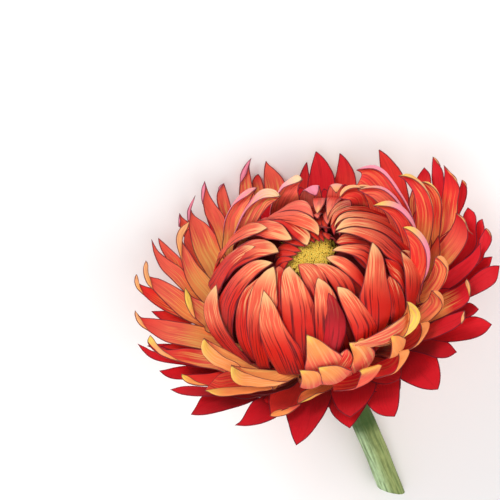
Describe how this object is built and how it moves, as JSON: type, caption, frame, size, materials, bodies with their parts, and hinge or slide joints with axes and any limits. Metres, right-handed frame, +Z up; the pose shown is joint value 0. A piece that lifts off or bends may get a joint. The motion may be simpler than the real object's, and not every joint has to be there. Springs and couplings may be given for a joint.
{
  "type": "dried strawflower",
  "caption": "Single cut dried strawflower lying face up on a table, with layered papery bracts curling in over a small disc and spreading around it, and a short cut stem.",
  "frame": {"origin": "on the surface the flower lies on, below the middle of its outline seen from above", "axes": "+Z up from the surface; the stem points to +Y and the face of the flower to -Y and up, so +Y runs from the front of the head to the cut end of the stem; +X is to the right when looking along +Y"},
  "size_m": [0.0662, 0.0655, 0.0436],
  "materials": {
    "incurved_bracts": "satin",
    "collar_bracts": "satin",
    "spreading_bracts": "satin",
    "underside_scales": "matte",
    "receptacle": "matte",
    "disc_florets": "matte",
    "stem": "matte"
  },
  "bodies": {
    "root": {"incurved_bracts_inner": "incurved_bracts", "incurved_bracts_middle": "incurved_bracts", "incurved_bracts_outer": "incurved_bracts", "collar_bracts_inner": "collar_bracts", "collar_bracts_outer": "collar_bracts", "spreading_bracts_top_whorl": "spreading_bracts", "spreading_bract_upper_01": "spreading_bracts", "spreading_bract_upper_02": "spreading_bracts", "spreading_bract_upper_03": "spreading_bracts", "spreading_bract_upper_04": "spreading_bracts", "spreading_bract_upper_05": "spreading_bracts", "spreading_bract_upper_06": "spreading_bracts", "spreading_bract_upper_07": "spreading_bracts", "spreading_bract_upper_08": "spreading_bracts", "spreading_bract_upper_09": "spreading_bracts", "spreading_bract_upper_10": "spreading_bracts", "spreading_bract_upper_11": "spreading_bracts", "spreading_bract_upper_12": "spreading_bracts", "spreading_bract_upper_13": "spreading_bracts", "spreading_bract_middle_01": "spreading_bracts", "spreading_bract_middle_02": "spreading_bracts", "spreading_bract_middle_03": "spreading_bracts", "spreading_bract_middle_04": "spreading_bracts", "spreading_bract_middle_05": "spreading_bracts", "spreading_bract_middle_06": "spreading_bracts", "spreading_bract_middle_07": "spreading_bracts", "spreading_bract_middle_08": "spreading_bracts", "spreading_bract_middle_09": "spreading_bracts", "spreading_bract_middle_10": "spreading_bracts", "spreading_bract_middle_11": "spreading_bracts", "spreading_bract_middle_12": "spreading_bracts", "spreading_bract_middle_13": "spreading_bracts", "spreading_bract_middle_14": "spreading_bracts", "spreading_bract_middle_15": "spreading_bracts", "spreading_bract_middle_16": "spreading_bracts", "spreading_bract_middle_17": "spreading_bracts", "spreading_bract_lower_01": "spreading_bracts", "spreading_bract_lower_02": "spreading_bracts", "spreading_bract_lower_03": "spreading_bracts", "spreading_bract_lower_04": "spreading_bracts", "spreading_bract_lower_05": "spreading_bracts", "spreading_bract_lower_06": "spreading_bracts", "spreading_bract_lower_07": "spreading_bracts", "spreading_bract_lower_08": "spreading_bracts", "spreading_bract_lower_09": "spreading_bracts", "spreading_bract_lower_10": "spreading_bracts", "spreading_bract_lower_11": "spreading_bracts", "spreading_bract_lower_12": "spreading_bracts", "spreading_bract_lower_13": "spreading_bracts", "spreading_bract_lower_14": "spreading_bracts", "spreading_bract_lower_15": "spreading_bracts", "spreading_bract_lower_16": "spreading_bracts", "spreading_bract_lower_17": "spreading_bracts", "spreading_bracts_bottom_whorl": "spreading_bracts", "underside_scales": "underside_scales", "receptacle": "receptacle", "disc_florets": "disc_florets", "stem": "stem"}
  },
  "joints": []
}
